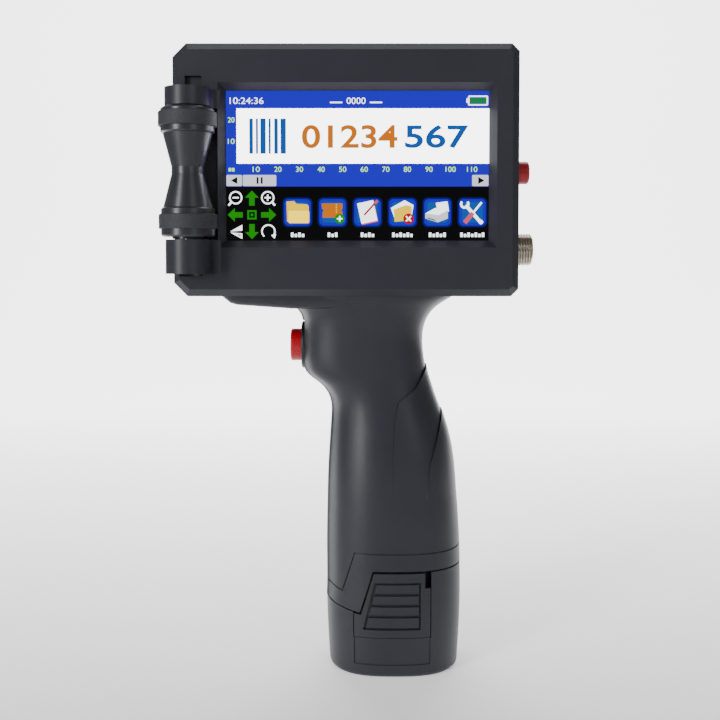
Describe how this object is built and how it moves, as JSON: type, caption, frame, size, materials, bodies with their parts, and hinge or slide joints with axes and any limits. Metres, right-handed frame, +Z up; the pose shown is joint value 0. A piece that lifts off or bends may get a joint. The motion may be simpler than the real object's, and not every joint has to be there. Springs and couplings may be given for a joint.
{
  "type": "handheld inkjet date coder",
  "caption": "Hand-held inkjet date coder: pistol grip, touch screen, guide rollers beside the print face, trigger, and a battery that slides out of the grip.",
  "frame": {"origin": "centre of the battery's flat foot, on the plane the coder stands on", "axes": "+Z up, from the foot to the head; -Y out of the screen, towards the person reading it; -X out of the print face, so +X points to the sockets' side"},
  "size_m": [0.1357, 0.0836, 0.233],
  "materials": {
    "casing_plastic": "fine satin moulding",
    "roller_plastic": "satin",
    "dark_rubber": "soft matt",
    "black_plastic": "satin",
    "red_plastic": "gloss",
    "screen_glass": "gloss",
    "lcd_module": "satin",
    "board_laminate": "semi gloss",
    "chip_resin": "matt",
    "can_aluminium": "satin",
    "header_plastic": "matt",
    "plain_steel": "bright zinc",
    "bright_nickel": "bright nickel",
    "stainless": "brushed",
    "bearing_bronze": "oiled",
    "contact_gold": "bright",
    "ink_body": "satin",
    "ink_cap": "satin",
    "flex_polyimide": "gloss",
    "cell_can": "sleeved",
    "wire_red": "satin",
    "wire_grey": "satin"
  },
  "bodies": {
    "casing": {"front_shell": "casing_plastic", "rear_shell": "casing_plastic", "case_screws": "plain_steel", "roller_bushes": "bearing_bronze", "encoder_sensor": "chip_resin", "mount_caps": "casing_plastic", "touch_panel": "screen_glass", "lcd_panel": "lcd_module", "main_board": "board_laminate", "board_screws": "plain_steel", "board_chips": "chip_resin", "board_capacitors": "can_aluminium", "board_sockets": "header_plastic", "buzzer": "chip_resin", "display_ribbon": "flex_polyimide", "cartridge_stall": "black_plastic", "contact_block": "chip_resin", "contact_pins": "contact_gold", "ink_cartridge": "ink_body", "cartridge_cap": "ink_cap", "nozzle_strip": "contact_gold", "nozzle_guard": "stainless", "guard_screws": "plain_steel", "clamp_pin": "plain_steel", "hinge_pin": "plain_steel", "connector_shell": "bright_nickel", "connector_nut": "bright_nickel", "connector_insert": "black_plastic", "connector_pins": "contact_gold", "socket_leads": "wire_grey", "usb_shell": "plain_steel", "usb_tongue": "header_plastic", "power_switch": "black_plastic", "power_ring": "black_plastic", "trigger_bezel": "black_plastic", "trigger_nut": "black_plastic", "trigger_switch": "chip_resin", "trigger_leads": "wire_grey", "battery_socket": "black_plastic", "socket_blades": "contact_gold", "battery_leads": "wire_red"},
    "battery": {"battery_base": "casing_plastic", "battery_stick": "casing_plastic", "battery_cells": "cell_can", "battery_board": "board_laminate", "battery_terminals": "contact_gold", "battery_screws": "plain_steel"},
    "near_roller": {"roller_near": "roller_plastic", "roller_near_tyres": "dark_rubber", "roller_near_axle": "plain_steel", "encoder_disc": "stainless"},
    "far_roller": {"roller_far": "roller_plastic", "roller_far_tyres": "dark_rubber", "roller_far_axle": "plain_steel"},
    "latch_near": {"latch_near": "casing_plastic"},
    "latch_far": {"latch_far": "casing_plastic"},
    "door": {"cartridge_door": "casing_plastic"},
    "clamp": {"cartridge_clamp": "black_plastic"},
    "trigger": {"trigger_button": "red_plastic"},
    "power": {"power_button": "red_plastic"}
  },
  "joints": [
    {"name": "near_roller_spin", "type": "hinge", "parent": "casing", "child": "near_roller", "pos_m": [-0.074, -0.0315, 0.1868], "axis": [0, 0, 1], "continuous": true},
    {"name": "far_roller_spin", "type": "hinge", "parent": "casing", "child": "far_roller", "pos_m": [-0.074, 0.0315, 0.1868], "axis": [0, 0, 1], "continuous": true},
    {"name": "trigger_press", "type": "slide", "parent": "casing", "child": "trigger", "axis": [1, 0, 0], "range_m": [0, 0.003], "stiffness_N_per_m": 500, "springref_m": -0.002},
    {"name": "power_press", "type": "slide", "parent": "casing", "child": "power", "axis": [-1, 0, 0], "range_m": [0, 0.0018], "stiffness_N_per_m": 600, "springref_m": -0.0015},
    {"name": "door_swing", "type": "hinge", "parent": "casing", "child": "door", "pos_m": [0.0226, 0.0284, 0.187], "axis": [0, 0, -1], "range_deg": [0, 110]},
    {"name": "clamp_swing", "type": "hinge", "parent": "casing", "child": "clamp", "pos_m": [0.0038, -0.0102, 0.187], "axis": [0, 0, -1], "range_deg": [0, 35], "stiffness_Nm_per_rad": 0.05, "springref_deg": -20.05},
    {"name": "battery_slide", "type": "slide", "parent": "casing", "child": "battery", "axis": [0, 0, -1], "range_m": [0, 0.058]},
    {"name": "latch_near_press", "type": "slide", "parent": "battery", "child": "latch_near", "axis": [0, 1, 0], "range_m": [0, 0.0015], "stiffness_N_per_m": 1200, "springref_m": -0.002},
    {"name": "latch_far_press", "type": "slide", "parent": "battery", "child": "latch_far", "axis": [0, -1, 0], "range_m": [0, 0.0015], "stiffness_N_per_m": 1200, "springref_m": -0.002}
  ]
}
